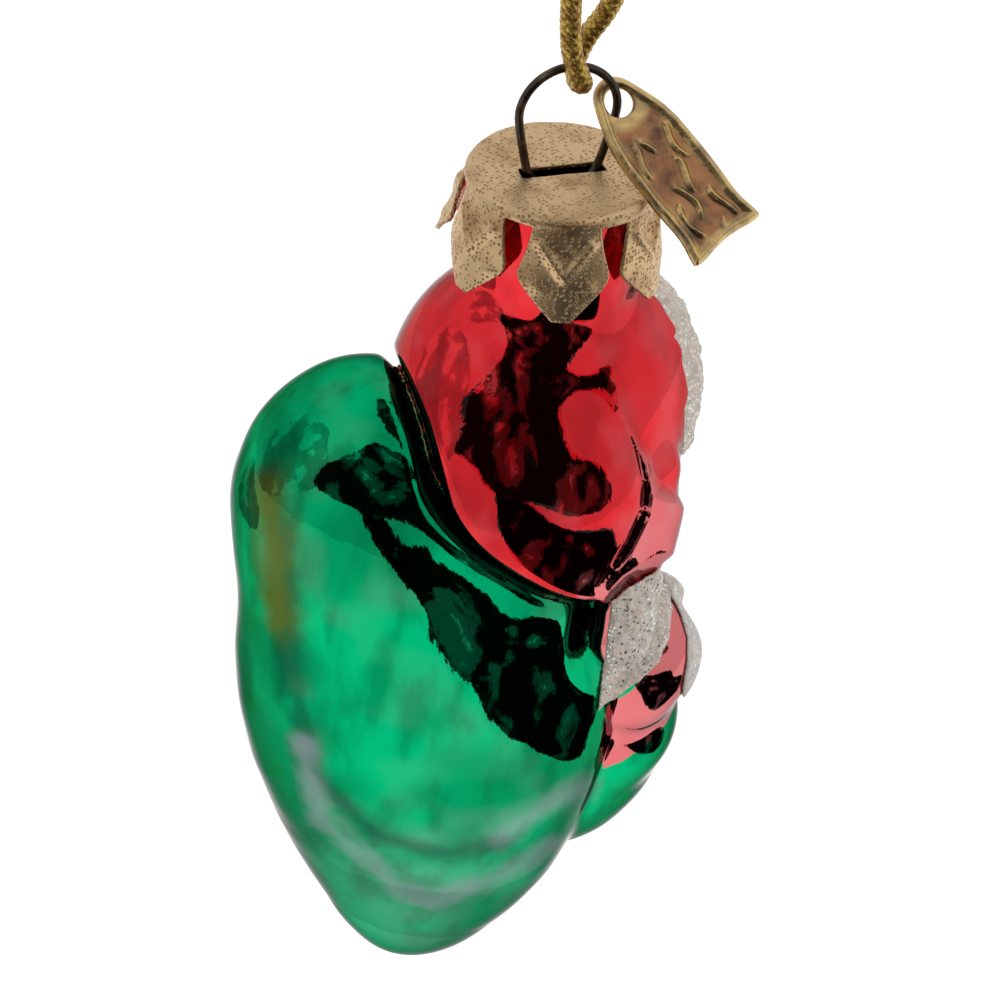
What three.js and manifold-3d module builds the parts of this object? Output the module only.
// Blown-glass Father Christmas ornament: a silvered and lacquered hollow figure with a sack,
// a stamped crown cap, a spring wire hanger, a cast tag and a braided cord loop.
// Millimetres, +Z up. The figure faces -Y. The origin is where the cord loop is hung up.
import * as THREE from 'three';
import { mergeVertices } from 'three/addons/utils/BufferGeometryUtils.js';
import Module from 'manifold-3d';

const wasm = await Module();
wasm.setup();

const radians = THREE.MathUtils.degToRad;
const mix = THREE.MathUtils.lerp;
const vec = (x, y, z) => new THREE.Vector3(x, y, z);

// Driving dimensions. The flat top of the cap hangs CAP_DROP below the top of the loop,
// and what hangs on the cap is measured from the middle of that top.
const CAP_DROP = 38;
const CLEARANCE = 0.3;

const NECK_RADIUS = 7.0;
const NECK_LENGTH = 9.4;
const NECK_BEAD = 0.3;
const NECK_SINK = 3.6;
const GLASS_WALL = 1.0;

const CAP_TURN = radians(241);
const CAP_PLAY = 0.8;
const CAP_SHEET = 0.4;
const CAP_RADIUS = NECK_RADIUS + CAP_PLAY + CAP_SHEET;
const CAP_LIP = 1.5;
const CAP_EDGE_RADIUS = 1.3;
const SLOT_LENGTH = 7.4;
const SLOT_WIDTH = 1.5;
const TAB_COUNT = 6;
const TAB_TURN = radians(16);
const TAB_LENGTH = 9.2;
const TAB_ROOT_WIDTH = 6.0;
const TAB_WIDEST = 7.6;
const TAB_WIDEST_AT = 5.6;
const TAB_TIP_WIDTH = 0.6;
const TAB_STAR_BEND = 0.8;
const TAB_FLARE = radians(9);

const WIRE = 0.75;
const RING_RADIUS = 4.3;
const RING_HEIGHT = 5.7;
const LEG_DEPTH = 8.0;
const LEG_CROSSING = 3.2;

const TAG_LENGTH = 17.4;
const TAG_WIDTH = 7.0;
const TAG_FOOT_WIDTH = 7.6;
const TAG_FOOT_RISE = 2.8;
const TAG_SHOULDER = 8.2;
const TAG_WAIST = 0.2;
const TAG_PLATE = 0.6;
const TAG_RIM = 0.3;
const TAG_RIM_WIDTH = 0.65;
const TAG_HOLE = 3.0;
const TAG_EYE_RIM = 0.9;
const TAG_LEAN = radians(45);
const TAG_ON_RING = radians(8);

const CORD = 1.8;
const KNOT_RADIUS = 2.4;
const KNOT_TAIL = 6.5;

const FIGURE_LENGTH = 74.4;
const HOOD_RADIUS = 12.2;
const CAPE_RADIUS = 13.0;
const FOLD_RADIUS = 3.0;
const BEARD_RADIUS = 6.9;
const SACK_RADIUS = 16.0;
const FRONT_RADIUS = 12.6;
const SLEEVE_RADIUS = 5.6;
const TIP_RADIUS = 6.0;
const TIP_TAPER = 8.8;

const FUR_GAP = 0.3;
const BEARD_GAP = 0.45;
const FUR_EDGE = 0.15;
const FUR_HEIGHT = 0.7;

const METALLIC = { metalness: 1, roughness: 0.35 };
const paint = {
  red: new THREE.MeshStandardMaterial({ color: 0xc41a22, metalness: 0.9, roughness: 0.12 }),
  glass: new THREE.MeshStandardMaterial({ color: 0x10905a, metalness: 0.9, roughness: 0.12 }),
  fur: new THREE.MeshStandardMaterial({ color: 0xdcd6cc, metalness: 0.1, roughness: 0.8 }),
  cap: new THREE.MeshStandardMaterial({ color: 0xc2a26a, ...METALLIC }),
  wire: new THREE.MeshStandardMaterial({ color: 0x4a3a2a, ...METALLIC }),
  tag: new THREE.MeshStandardMaterial({ color: 0xa8904e, ...METALLIC }),
  cord: new THREE.MeshStandardMaterial({ color: 0xb08a30, metalness: 0.6, roughness: 0.5 }),
};

function named(name, geometry, material) {
  const mesh = new THREE.Mesh(geometry, material);
  mesh.name = name;
  return mesh;
}

// Evenly spaced values from one number to another, both included.
function steps(from, to, count) {
  return Array.from({ length: count + 1 }, (_, i) => mix(from, to, i / count));
}

// A closed geometry as a solid that can be joined or cut.
function solid(geometry) {
  const bare = geometry.clone();
  bare.deleteAttribute('normal');
  bare.deleteAttribute('uv');
  const merged = mergeVertices(bare, 1e-4);
  return new wasm.Manifold(new wasm.Mesh({
    numProp: 3,
    vertProperties: Float32Array.from(merged.attributes.position.array),
    triVerts: Uint32Array.from(merged.index.array),
  }));
}

function fromSolid(body) {
  const mesh = body.getMesh();
  const geometry = new THREE.BufferGeometry();
  geometry.setAttribute('position', new THREE.BufferAttribute(mesh.vertProperties, 3));
  geometry.setIndex(new THREE.BufferAttribute(mesh.triVerts, 1));
  return geometry;
}

function fromTriangles(points, faces) {
  const geometry = new THREE.BufferGeometry();
  const flat = points.flatMap((p) => [p.x, p.y, p.z]);
  geometry.setAttribute('position', new THREE.Float32BufferAttribute(flat, 3));
  geometry.setIndex(faces);
  return geometry;
}

// Closed plate between two grids of points with the same rows and columns. The top
// grid's rows run so that (along the row) x (down the rows) points out of the plate.
function plateBetween(top, bottom) {
  const rows = top.length;
  const cols = top[0].length;
  const points = [...top.flat(), ...bottom.flat()];
  const under = rows * cols;
  const at = (r, c) => r * cols + c;
  const faces = [];
  const quad = (a, b, c, d) => faces.push(a, b, c, a, c, d);
  for (let r = 0; r + 1 < rows; r += 1) {
    for (let c = 0; c + 1 < cols; c += 1) {
      quad(at(r, c), at(r, c + 1), at(r + 1, c + 1), at(r + 1, c));
      quad(under + at(r, c), under + at(r + 1, c), under + at(r + 1, c + 1), under + at(r, c + 1));
    }
  }
  for (let c = 0; c + 1 < cols; c += 1) {
    quad(at(0, c), under + at(0, c), under + at(0, c + 1), at(0, c + 1));
    quad(at(rows - 1, c + 1), under + at(rows - 1, c + 1), under + at(rows - 1, c), at(rows - 1, c));
  }
  for (let r = 0; r + 1 < rows; r += 1) {
    quad(at(r + 1, 0), under + at(r + 1, 0), under + at(r, 0), at(r, 0));
    quad(at(r, cols - 1), under + at(r, cols - 1), under + at(r + 1, cols - 1), at(r + 1, cols - 1));
  }
  return fromTriangles(points, faces);
}

// The figure's moulded form, as distances from its surface. Points are in the stance
// frame: X runs across the back of the figure, Y past its face and Z up from the foot
// of the neck. The face looks along FACE_TURN from X.
const FACE_TURN = radians(50);
const FACE_WAY = vec(Math.cos(FACE_TURN), Math.sin(FACE_TURN), 0);
const FACE_ACROSS = vec(Math.sin(FACE_TURN), -Math.cos(FACE_TURN), 0);
const STANCE = radians(270) - FACE_TURN;

// A form's place is given across and past the face in its own radius and down in the
// figure's length, and so are its half sizes.
function place(radius, across, past, down) {
  return vec(radius * across, radius * past, -FIGURE_LENGTH * down);
}

function halfSizes(radius, across, past, tall) {
  return vec(radius * across, radius * past, FIGURE_LENGTH * tall);
}

const HOOD_BACK = [place(HOOD_RADIUS, -0.131, 0, 0.2), halfSizes(HOOD_RADIUS, 1, 0.984, 0.215)];
const HOOD_BRIM = [place(HOOD_RADIUS, 0.197, 0.246, 0.172), halfSizes(HOOD_RADIUS, 0.918, 0.885, 0.169)];
const CAPE = [place(CAPE_RADIUS, -0.046, -0.185, 0.277), halfSizes(CAPE_RADIUS, 1, 1.015, 0.208)];
const CAPE_HEM_NORMAL = vec(0.53, 0, 0.85);
const CAPE_HEM_DEPTH = 0.2468 * FIGURE_LENGTH;
const CAPE_FOLD = [
  place(CAPE_RADIUS, 0.754, -0.346, 0.2164), place(CAPE_RADIUS, 0.638, -0.677, 0.418),
  FOLD_RADIUS, 1.067 * FOLD_RADIUS,
];
const BEARD_FORM = [
  FACE_WAY.clone().multiplyScalar(1.377 * BEARD_RADIUS).setZ(-0.344 * FIGURE_LENGTH),
  halfSizes(BEARD_RADIUS, 1, 1, 0.148),
];
const SACK_TOP = [place(SACK_RADIUS, -0.85, -0.25, 0.312), halfSizes(SACK_RADIUS, 0.775, 0.6875, 0.191)];
const SACK_MIDDLE = [place(SACK_RADIUS, -0.5, -0.3125, 0.4785), halfSizes(SACK_RADIUS, 1, 0.75, 0.2957)];
const SACK_LOW = [place(SACK_RADIUS, -0.394, -0.0625, 0.633), halfSizes(SACK_RADIUS, 0.9375, 0.6875, 0.3495)];
const SACK_TIP = [
  place(SACK_RADIUS, -0.406, -0.0625, 0).setZ(TIP_RADIUS + TIP_TAPER - FIGURE_LENGTH),
  place(SACK_RADIUS, -0.45, -0.0625, 0).setZ(TIP_RADIUS - FIGURE_LENGTH),
  1.5 * TIP_RADIUS, TIP_RADIUS,
];
const SACK_FRONT = [place(FRONT_RADIUS, 0.214, 0.397, 0.653), halfSizes(FRONT_RADIUS, 1, 0.913, 0.215)];
const SLEEVE = vec(1, 1.16, 1.18).multiplyScalar(SLEEVE_RADIUS);
const ARM_NEAR = [place(SLEEVE_RADIUS, 2, -0.09, 0.5363), SLEEVE];
const ARM_FAR = [place(SLEEVE_RADIUS, -0.43, 1.91, 0.5363), SLEEVE];

// How softly neighbouring forms run into each other.
const BLEND_HOOD = 1.5;
const BLEND_HEM = 1.6;
const BLEND_CAPE = 3.0;
const BLEND_NECK = 2.0;
const BLEND_BEARD = 1.0;
const BLEND_FOLD = 1.2;
const BLEND_SACK = 4.0;

function ellipsoid(p, centre, radii) {
  const q = p.clone().sub(centre);
  const inner = q.clone().divide(radii).length();
  const outer = q.clone().divide(radii).divide(radii).length();
  return inner * (inner - 1) / Math.max(outer, 1e-9);
}

function taperedRod(p, from, to, fromRadius, toRadius) {
  const along = to.clone().sub(from);
  const share = THREE.MathUtils.clamp(p.clone().sub(from).dot(along) / along.lengthSq(), 0, 1);
  return p.distanceTo(from.clone().addScaledVector(along, share)) - mix(fromRadius, toRadius, share);
}

function blend(a, b, radius) {
  const share = THREE.MathUtils.clamp(0.5 + 0.5 * (b - a) / radius, 0, 1);
  return b + (a - b) * share - radius * share * (1 - share);
}

function headDistance(p) {
  const neck = Math.max(Math.hypot(p.x, p.y) - NECK_RADIUS, -NECK_SINK - p.z);
  const hood = blend(ellipsoid(p, ...HOOD_BACK), ellipsoid(p, ...HOOD_BRIM), BLEND_HOOD);
  const hem = -(p.dot(CAPE_HEM_NORMAL) + CAPE_HEM_DEPTH);
  const cape = -blend(-ellipsoid(p, ...CAPE), -hem, BLEND_HEM);
  const cloth = blend(blend(hood, cape, BLEND_CAPE), taperedRod(p, ...CAPE_FOLD), BLEND_FOLD);
  return blend(blend(cloth, neck, BLEND_NECK), ellipsoid(p, ...BEARD_FORM), BLEND_BEARD);
}

function bodyDistances(p) {
  const tip = taperedRod(p, ...SACK_TIP);
  const arms = Math.min(ellipsoid(p, ...ARM_NEAR), ellipsoid(p, ...ARM_FAR));
  const front = blend(blend(ellipsoid(p, ...SACK_FRONT), tip, BLEND_SACK), arms, BLEND_FOLD);
  const back = blend(ellipsoid(p, ...SACK_TOP), ellipsoid(p, ...SACK_MIDDLE), BLEND_SACK);
  const sack = blend(blend(back, ellipsoid(p, ...SACK_LOW), BLEND_SACK), tip, BLEND_SACK);
  return [front, sack];
}

function figureDistance(p) {
  const [front, sack] = bodyDistances(p);
  return blend(blend(headDistance(p), front, BLEND_BEARD), sack, BLEND_FOLD);
}

function figureNormal(p) {
  const step = 0.05;
  const slope = (axis) => {
    const ahead = p.clone();
    const behind = p.clone();
    ahead[axis] += step;
    behind[axis] -= step;
    return figureDistance(ahead) - figureDistance(behind);
  };
  return vec(slope('x'), slope('y'), slope('z')).normalize();
}

// Where a ray that comes in from outside first meets the surface, or one at `level` off it.
const OUTSIDE = 45;

function surfacePoint(origin, way, level) {
  const at = (t) => origin.clone().addScaledVector(way, t);
  let far = OUTSIDE;
  for (let i = 0; i < 90; i += 1) {
    const gap = figureDistance(at(far)) - level;
    if (gap < 0.002) break;
    far -= Math.max(gap * 0.6, 0.002);
  }
  let near = far - 0.5;
  far += 0.6;
  for (let i = 0; i < 20; i += 1) {
    const middle = (near + far) / 2;
    if (figureDistance(at(middle)) < level) near = middle;
    else far = middle;
  }
  return at((near + far) / 2);
}

// Rays run from the foot of the neck (share 0) over the head, down the body and round
// the tip (share 1), each from a point on the middle line of the figure.
const HEAD_CENTRE = place(HOOD_RADIUS, 0, 0, 0.156);
const TIP_CENTRE = place(SACK_RADIUS, -0.3125, -0.094, 0.855);
const HEAD_SHARE = 0.23;
const TIP_SHARE = 0.2;
const TIP_START = radians(25);

function skinPoint(share, turn, level) {
  const down = (share - HEAD_SHARE) / (1 - HEAD_SHARE - TIP_SHARE);
  let lift = -TIP_START * down;
  if (down < 0) lift = Math.atan2(-HEAD_CENTRE.z, NECK_RADIUS) * (1 - share / HEAD_SHARE);
  if (down > 1) lift = mix(-TIP_START, -Math.PI / 2, 1 - (1 - share) / TIP_SHARE);
  const origin = HEAD_CENTRE.clone().lerp(TIP_CENTRE, THREE.MathUtils.clamp(down, 0, 1));
  const flat = Math.cos(lift);
  const way = vec(flat * Math.cos(turn), flat * Math.sin(turn), Math.sin(lift));
  return surfacePoint(origin, way, level);
}

// Share of the way down at which the cloth of hood and cape ends and the body begins.
function hemShare(turn) {
  const onCloth = (share) => {
    const p = skinPoint(share, turn, 0);
    return headDistance(p) < Math.min(...bodyDistances(p));
  };
  let above = 0.06;
  let below = above;
  while (onCloth(below)) {
    above = below;
    below += 0.03;
  }
  for (let i = 0; i < 6; i += 1) {
    const middle = (above + below) / 2;
    if (onCloth(middle)) above = middle;
    else below = middle;
  }
  return (above + below) / 2;
}

// Rows above the hem, close rows along it and rows below it, so that the hem stays crisp.
const SKIN_SIDES = 64;
const ROWS_ABOVE_HEM = 14;
const ROWS_BELOW_HEM = 20;
const HEM_ROW = 0.011;

function outerShares(turn) {
  const hem = hemShare(turn);
  return [
    ...steps(0, hem - 3 * HEM_ROW, ROWS_ABOVE_HEM).slice(1),
    ...steps(hem - 2 * HEM_ROW, hem + HEM_ROW, 3),
    ...steps(hem + 2 * HEM_ROW, 1, ROWS_BELOW_HEM).slice(0, -1),
  ];
}

function skin(firstRadius, level, sides, sharesAt) {
  const columns = Array.from({ length: sides }, (_, k) => {
    const turn = (2 * Math.PI * k) / sides;
    const first = vec(firstRadius * Math.cos(turn), firstRadius * Math.sin(turn), 0);
    return [first, ...sharesAt(turn).map((share) => skinPoint(share, turn, level))];
  });
  const rings = columns[0].map((_, r) => columns.map((column) => column[r]));
  return { rings, pole: skinPoint(1, 0, level) };
}

// Hollow shell open at the neck: an outer skin, an inner skin one wall inside it and the rim.
function blownShell() {
  const innerSides = SKIN_SIDES / 2;
  const innerShares = steps(0, 1, 21).slice(1, -1);
  const outer = skin(NECK_RADIUS, 0, SKIN_SIDES, outerShares);
  const inner = skin(NECK_RADIUS - GLASS_WALL, -GLASS_WALL, innerSides, () => innerShares);
  const points = [];
  const faces = [];
  const addSkin = ({ rings, pole }, sides, inwards) => {
    const start = points.length;
    points.push(...rings.flat(), pole);
    const tri = (a, b, c) => (inwards ? faces.push(a, c, b) : faces.push(a, b, c));
    for (let r = 0; r + 1 < rings.length; r += 1) {
      for (let k = 0; k < sides; k += 1) {
        const a = start + r * sides + k;
        const b = start + r * sides + ((k + 1) % sides);
        tri(a, a + sides, b + sides);
        tri(a, b + sides, b);
      }
    }
    const last = start + (rings.length - 1) * sides;
    for (let k = 0; k < sides; k += 1) tri(last + k, points.length - 1, last + ((k + 1) % sides));
    return start;
  };
  const outerStart = addSkin(outer, SKIN_SIDES, false);
  const innerStart = addSkin(inner, innerSides, true);
  for (let k = 0; k < innerSides; k += 1) {
    const here = innerStart + k;
    const next = innerStart + ((k + 1) % innerSides);
    const a = outerStart + 2 * k;
    const b = outerStart + ((2 * k + 2) % SKIN_SIDES);
    faces.push(a, a + 1, here, a + 1, b, next, a + 1, next, here);
  }
  return fromTriangles(points, faces);
}

function glassNeck() {
  const bottom = CLEARANCE;
  const top = bottom + NECK_LENGTH;
  const inner = NECK_RADIUS - GLASS_WALL;
  const profile = [
    [inner, bottom], [NECK_RADIUS, bottom], [NECK_RADIUS, top - NECK_BEAD],
    [NECK_RADIUS - NECK_BEAD, top], [inner + NECK_BEAD, top], [inner, top - NECK_BEAD], [inner, bottom],
  ].map(([x, y]) => new THREE.Vector2(x, y));
  return new THREE.LatheGeometry(profile, 48).rotateX(Math.PI / 2);
}

// Raised glitter coats lie on the figure. Each is a grid of [place, height] pairs in a
// plane through the figure, carried outwards along `way` to lie `gap` off its surface.
function coat(grid, way, gap) {
  const bottom = grid.map((row) => row.map(([place]) => surfacePoint(place, way, gap)));
  const top = bottom.map((row, r) => row.map((base, c) => (
    base.clone().addScaledVector(figureNormal(base), grid[r][c][1]))));
  const across = bottom[0][1].clone().sub(bottom[0][0]);
  const down = bottom[1][0].clone().sub(bottom[0][0]);
  if (across.cross(down).dot(figureNormal(bottom[0][0])) < 0) {
    top.reverse();
    bottom.reverse();
  }
  return plateBetween(top, bottom);
}

function facePlace(across, height) {
  return FACE_ACROSS.clone().multiplyScalar(across).setZ(height);
}

// Bead of fur along an arc round the face, from cheek over the brow to cheek.
const FACE_CENTRE_HEIGHT = -14.1;
const FACE_HALF_WIDTH = 9.3;
const FACE_HALF_HEIGHT = 11.5;
const HOOD_FUR_WIDTH = 2.6;
const HOOD_FUR_END = radians(-14);
const HOOD_FUR_STEPS = 52;

function hoodFur() {
  const grid = steps(HOOD_FUR_END, Math.PI - HOOD_FUR_END, HOOD_FUR_STEPS).map((turn) => (
    steps(-1, 1, 4).map((share) => {
      const grow = -share * HOOD_FUR_WIDTH / 2;
      const place = facePlace(
        -(FACE_HALF_WIDTH + grow * 0.7) * Math.cos(turn),
        FACE_CENTRE_HEIGHT + (FACE_HALF_HEIGHT + grow) * Math.sin(turn),
      );
      return [place, FUR_EDGE + FUR_HEIGHT * Math.sqrt(1 - share * share * 0.98)];
    })));
  return coat(grid, FACE_WAY, FUR_GAP);
}

// Beard: a patch that hangs from cheek to cheek under the fur and narrows to a rounded end.
const BEARD_UNDER_FUR = 2.4;
const BEARD_LENGTH = 17;
const BEARD_HALF_WIDTH = 6.6;
const BEARD_LOCK = 0.9;
const BEARD_SAG = 1.2;

function beardCoat() {
  const furEnd = FACE_CENTRE_HEIGHT + FACE_HALF_HEIGHT * Math.sin(HOOD_FUR_END);
  const top = furEnd - BEARD_UNDER_FUR;
  const grid = steps(0, 1, 12).map((down) => {
    const half = BEARD_HALF_WIDTH * Math.sqrt(Math.max(1.02 - down ** 3, 0.02));
    return steps(-1, 1, 12).map((share) => {
      const sag = BEARD_SAG * (1 - share * share) * (1 - 2 * down);
      const edge = Math.min(1, 4 * (1 - Math.abs(share)), 4 * down, 4 * (1 - down));
      const lock = edge * (0.75 + 0.25 * Math.cos(share * 3 * Math.PI));
      return [facePlace(share * half, top - BEARD_LENGTH * down + sag), FUR_EDGE + BEARD_LOCK * lock];
    });
  });
  return coat(grid, FACE_WAY, BEARD_GAP);
}

// Fur hem of the cape, a pad on the near sleeve under the cape's fold, seen from behind.
const HEM_FUR_SHIFT = vec(-0.2, 0, 1.3);
const HEM_FUR_HALF_WIDTH = 1.7;
const HEM_FUR_HALF_HEIGHT = 3.4;
const HEM_FUR_SLANT = -0.16;

function hemFur() {
  const centre = ARM_NEAR[0].clone().add(HEM_FUR_SHIFT).setY(0);
  const grid = steps(-1, 1, 10).map((down) => {
    const half = HEM_FUR_HALF_WIDTH * Math.sqrt(Math.max(1 - down ** 4, 0.12));
    return steps(-1, 1, 6).map((share) => {
      const drop = down * HEM_FUR_HALF_HEIGHT;
      const edge = Math.min(1, 3 * (1 - Math.abs(share)), 3 * (1 - Math.abs(down)));
      const place = centre.clone().add(vec(share * half + HEM_FUR_SLANT * drop, 0, -drop));
      return [place, FUR_EDGE + FUR_HEIGHT * 0.7 * edge];
    });
  });
  return coat(grid, vec(0, -1, 0), FUR_GAP);
}

// Crown cap: a pressed disc with a rounded edge and a short lip, six bent star tabs.
function capDisc() {
  const bend = CAP_RADIUS - CAP_EDGE_RADIUS;
  const arc = (radius, from, to) => steps(from, to, 4).map((turn) => (
    new THREE.Vector2(bend + radius * Math.sin(turn), radius * Math.cos(turn) - CAP_EDGE_RADIUS)));
  const profile = [
    new THREE.Vector2(0, -CAP_SHEET),
    ...arc(CAP_EDGE_RADIUS - CAP_SHEET, 0, Math.PI / 2),
    new THREE.Vector2(CAP_RADIUS - CAP_SHEET, -CAP_LIP),
    new THREE.Vector2(CAP_RADIUS, -CAP_LIP),
    ...arc(CAP_EDGE_RADIUS, Math.PI / 2, 0),
    new THREE.Vector2(0, 0),
  ];
  const disc = solid(new THREE.LatheGeometry(profile, 48).rotateX(Math.PI / 2));
  const slot = new THREE.BoxGeometry(SLOT_LENGTH, SLOT_WIDTH, 4 * CAP_SHEET);
  return disc.subtract(solid(slot));
}

// A tab widens to two side points and runs in along hollow edges to its tip, like a star.
function tabHalfWidth(down) {
  if (down < TAB_WIDEST_AT) {
    const share = Math.max(down - CAP_LIP, 0) / (TAB_WIDEST_AT - CAP_LIP);
    return mix(TAB_ROOT_WIDTH, TAB_WIDEST, share * share) / 2;
  }
  const share = (down - TAB_WIDEST_AT) / (TAB_LENGTH - TAB_WIDEST_AT);
  return mix(TAB_WIDEST, TAB_TIP_WIDTH, share ** TAB_STAR_BEND) / 2;
}

function capTab(turn) {
  const levels = [
    ...steps(CAP_LIP - CAP_SHEET, TAB_WIDEST_AT, 5),
    ...steps(TAB_WIDEST_AT, TAB_LENGTH, 4).slice(1),
  ];
  const grid = (sink) => levels.map((down) => {
    const out = CAP_RADIUS - sink + Math.max(down - CAP_LIP, 0) * Math.tan(TAB_FLARE);
    return steps(-1, 1, 6).map((share) => {
      const angle = turn + (share * tabHalfWidth(down)) / CAP_RADIUS;
      return vec(out * Math.cos(angle), out * Math.sin(angle), -down);
    });
  });
  return solid(plateBetween(grid(0).reverse(), grid(CAP_SHEET).reverse()));
}

function crownCap() {
  let cap = capDisc();
  for (let k = 0; k < TAB_COUNT; k += 1) {
    cap = cap.add(capTab(TAB_TURN + (2 * Math.PI * k) / TAB_COUNT));
  }
  return fromSolid(cap);
}

// Spring hanger: one wire, round the ring, in through the slot, crossed and splayed so
// that its legs press on the inside of the neck. Its second half mirrors the first.
function hangerPath() {
  const inSlot = SLOT_LENGTH / 2 - WIRE / 2 - CLEARANCE;
  const reach = NECK_RADIUS - GLASS_WALL - WIRE / 2 - CLEARANCE;
  const aside = (WIRE + CLEARANCE) / 2;
  const half = [
    vec(reach, aside, -LEG_DEPTH),
    vec(reach * 0.45, aside, -(LEG_DEPTH + LEG_CROSSING) / 2),
    vec(0, aside, -LEG_CROSSING),
    vec(-inSlot * 0.75, aside / 2, -LEG_CROSSING / 3),
    vec(-inSlot, 0, 0),
    vec(-(inSlot + RING_RADIUS) / 2, 0, RING_HEIGHT * 0.4),
  ];
  const ring = steps(Math.PI, 0, 10).map((turn) => (
    vec(RING_RADIUS * Math.cos(turn), 0, RING_HEIGHT + RING_RADIUS * Math.sin(turn))));
  const other = half.map((p) => vec(-p.x, -p.y, p.z)).reverse();
  return new THREE.CatmullRomCurve3([...half, ...ring, ...other], false, 'centripetal');
}

function roundWire(path, diameter, sides, count) {
  const section = new THREE.Shape();
  for (let k = 0; k < sides; k += 1) {
    const turn = (2 * Math.PI * k) / sides;
    const x = (diameter / 2) * Math.cos(turn);
    const y = (diameter / 2) * Math.sin(turn);
    if (k === 0) section.moveTo(x, y);
    else section.lineTo(x, y);
  }
  section.closePath();
  return new THREE.ExtrudeGeometry(section, { steps: count, bevelEnabled: false, extrudePath: path });
}

// Cast tag: an arched plate that widens to a flared foot, with a hole and a raised rim.
// It is drawn with the hole at the origin and its length along -Y.
function tagOutline(inset) {
  const eye = TAG_HOLE / 2 + TAG_EYE_RIM - inset;
  const half = TAG_WIDTH / 2 - inset;
  const foot = TAG_FOOT_WIDTH / 2 - inset;
  const waist = half - TAG_WAIST;
  const end = inset + TAG_HOLE / 2 + TAG_EYE_RIM - TAG_LENGTH;
  const waistAt = end + TAG_FOOT_RISE;
  const shoulderAt = end + TAG_SHOULDER;
  const shape = new THREE.Shape();
  shape.moveTo(-foot, end);
  shape.quadraticCurveTo(0, end + TAG_FOOT_RISE / 4, foot, end);
  shape.quadraticCurveTo(foot - TAG_WAIST, end + TAG_FOOT_RISE * 0.6, waist, waistAt);
  shape.quadraticCurveTo(half, (waistAt + shoulderAt) / 2, half, shoulderAt);
  shape.quadraticCurveTo(half, -eye, eye * Math.SQRT1_2, eye * Math.SQRT1_2);
  shape.absarc(0, 0, eye, Math.PI / 4, (3 * Math.PI) / 4, false);
  shape.quadraticCurveTo(-half, -eye, -half, shoulderAt);
  shape.quadraticCurveTo(-half, (waistAt + shoulderAt) / 2, -waist, waistAt);
  shape.quadraticCurveTo(TAG_WAIST - foot, end + TAG_FOOT_RISE * 0.6, -foot, end);
  return shape;
}

function extruded(shape, depth, from) {
  const flat = { depth, bevelEnabled: false, curveSegments: 6 };
  return solid(new THREE.ExtrudeGeometry(shape, flat).translate(0, 0, from));
}

function tagPlate() {
  const whole = extruded(tagOutline(0), TAG_PLATE + TAG_RIM, 0);
  const field = extruded(tagOutline(TAG_RIM_WIDTH), 2 * TAG_RIM, TAG_PLATE);
  const bore = new THREE.CylinderGeometry(TAG_HOLE / 2, TAG_HOLE / 2, 6 * TAG_PLATE, 20);
  return fromSolid(whole.subtract(field).subtract(solid(bore.rotateX(Math.PI / 2))));
}

// The tag hangs on the right of the ring and leans at TAG_LEAN, with its length at
// `swing` from the steepest way down. The wire crosses its hole on a slant.
function tagFrame(swing) {
  const thick = TAG_PLATE + TAG_RIM;
  const slant = (WIRE / Math.cos(TAG_LEAN) + thick * Math.tan(TAG_LEAN)) / 2;
  const face = vec(0, -Math.cos(TAG_LEAN), Math.sin(TAG_LEAN));
  const along = vec(0, -Math.sin(TAG_LEAN), -Math.cos(TAG_LEAN))
    .multiplyScalar(Math.cos(swing)).setX(Math.sin(swing));
  const hole = vec(RING_RADIUS * Math.cos(TAG_ON_RING), 0, RING_HEIGHT + RING_RADIUS * Math.sin(TAG_ON_RING))
    .addScaledVector(along, TAG_HOLE / 2 - slant - CLEARANCE)
    .addScaledVector(face, -thick / 2);
  return new THREE.Matrix4().makeBasis(face.clone().cross(along), along.negate(), face).setPosition(hole);
}

// Least height of the tag's back over the rounded edge of the cap.
function heightOverCap(swing) {
  const toTag = tagFrame(swing).invert();
  const end = TAG_HOLE / 2 + TAG_EYE_RIM;
  let least = Infinity;
  for (const turn of steps(0, 2 * Math.PI, 360)) {
    for (const bend of steps(0, Math.PI / 2, 9)) {
      const out = CAP_RADIUS - CAP_EDGE_RADIUS * (1 - Math.cos(bend));
      const up = CAP_EDGE_RADIUS * (Math.sin(bend) - 1);
      const p = vec(out * Math.cos(turn), out * Math.sin(turn), up).applyMatrix4(toTag);
      const under = Math.abs(p.x) < TAG_WIDTH / 2 && p.y < end && p.y > end - TAG_LENGTH;
      if (under) least = Math.min(least, -p.z);
    }
  }
  return least;
}

// The tag sinks sideways until its back lies CLEARANCE off the cap's edge.
function placeTag(tag) {
  let low = radians(10);
  let high = radians(65);
  for (let i = 0; i < 16; i += 1) {
    const middle = (low + high) / 2;
    if (heightOverCap(middle) < CLEARANCE) low = middle;
    else high = middle;
  }
  tag.applyMatrix4(tagFrame(high));
  return tag;
}

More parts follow.
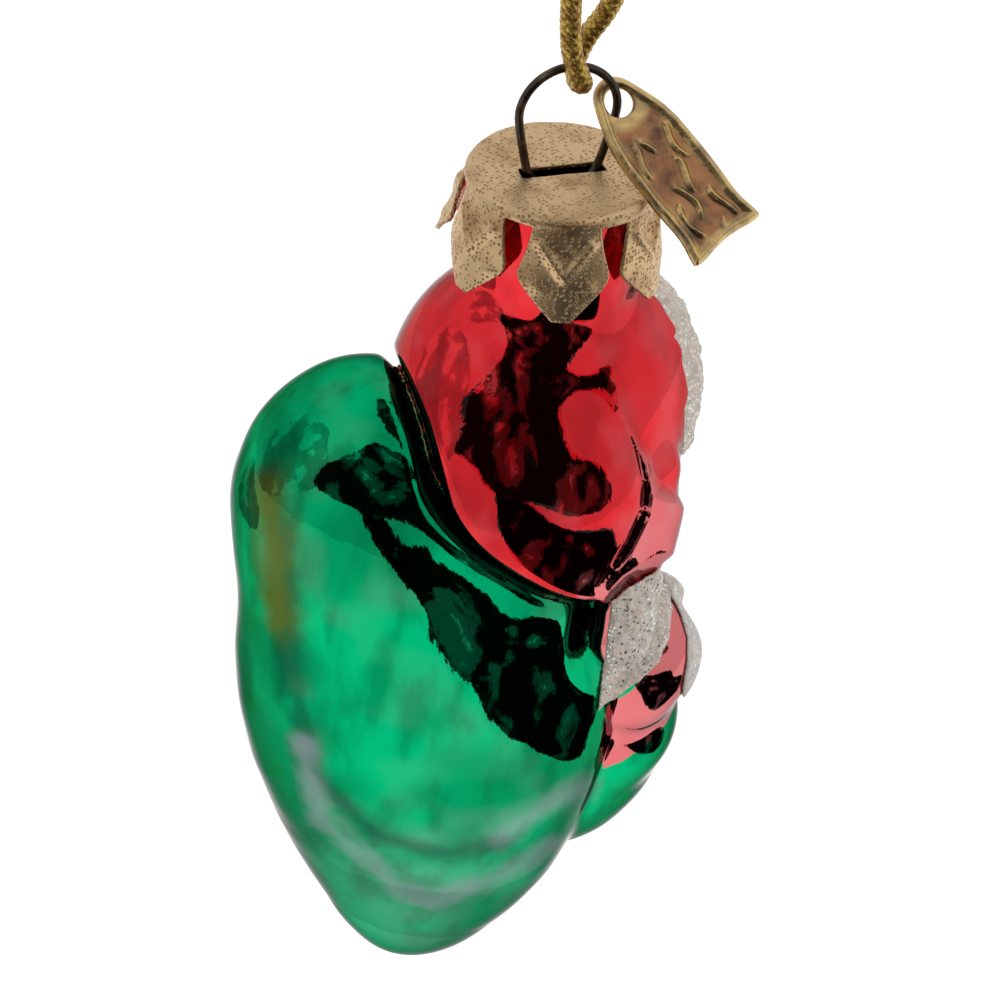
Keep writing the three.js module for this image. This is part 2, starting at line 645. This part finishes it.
// Cord loop: from the knot down the near strand, under the ring and up the far strand.
const CORD_ROUTE = [
  vec(-0.95, -0.2, CAP_DROP), vec(-1.5, -0.4, 34.5), vec(-2.0, -0.8, 27.0), vec(-1.3, -1.2, 19.0),
  vec(-1.06, -1.3, 14.7), vec(-0.7, -1.5, 12.0), vec(0.0, -1.55, 10.2), vec(0.7, -0.75, 8.75),
  vec(0.65, 0.35, 8.4), vec(0.9, 1.8, 9.3), vec(1.65, 2.0, 11.3), vec(2.9, 0.9, 14.7),
  vec(3.6, 0.1, 18.5), vec(3.4, 0.1, 25.0), vec(1.9, 0.0, 33.5), vec(0.95, -0.15, CAP_DROP),
];

function cordLoop() {
  return roundWire(new THREE.CatmullRomCurve3(CORD_ROUTE, false, 'centripetal'), CORD, 8, 60);
}

// Overhand knot over the two strands, with the cord's two ends standing out of it.
function cordKnot() {
  const middle = CORD_ROUTE[0].clone().lerp(CORD_ROUTE.at(-1), 0.5);
  const centre = middle.setZ(CAP_DROP + CLEARANCE + KNOT_RADIUS);
  const ball = new THREE.SphereGeometry(KNOT_RADIUS, 12, 8).rotateX(Math.PI / 2);
  ball.scale(1.1, 0.85, 1).translate(centre.x, centre.y, centre.z);
  let knot = solid(ball);
  for (const side of [-1, 1]) {
    const tail = new THREE.CatmullRomCurve3([
      vec(CORD * 0.28 * side, 0, KNOT_RADIUS * 0.25),
      vec(CORD * 0.6 * side, CORD * 0.1 * side, KNOT_RADIUS * 1.6),
      vec(CORD * 1.2 * side, CORD * 0.28 * side, KNOT_RADIUS + KNOT_TAIL),
    ].map((p) => p.add(centre)));
    knot = knot.add(solid(roundWire(tail, CORD, 8, 6)));
  }
  return fromSolid(knot);
}

function figureGroup() {
  const figure = new THREE.Group();
  figure.rotation.z = STANCE;
  figure.position.z = -(CAP_SHEET + CLEARANCE + NECK_LENGTH + CLEARANCE);
  figure.add(
    named('glass_figure', blownShell(), paint.glass),
    named('glass_neck', glassNeck(), paint.red),
    named('hood_fur', hoodFur(), paint.fur),
    named('beard', beardCoat(), paint.fur),
    named('cape_fur', hemFur(), paint.fur),
  );
  return figure;
}

function fittings() {
  const group = new THREE.Group();
  group.rotation.z = CAP_TURN;
  group.add(
    named('crown_cap', crownCap(), paint.cap),
    named('hanger_wire', roundWire(hangerPath(), WIRE, 8, 60), paint.wire),
    placeTag(named('tag', tagPlate(), paint.tag)),
    named('cord_loop', cordLoop(), paint.cord),
    named('cord_knot', cordKnot(), paint.cord),
  );
  return group;
}

const ornament = new THREE.Group();
ornament.name = 'glass_santa_ornament';
ornament.position.z = -CAP_DROP;
ornament.add(figureGroup(), fittings());

export default ornament;
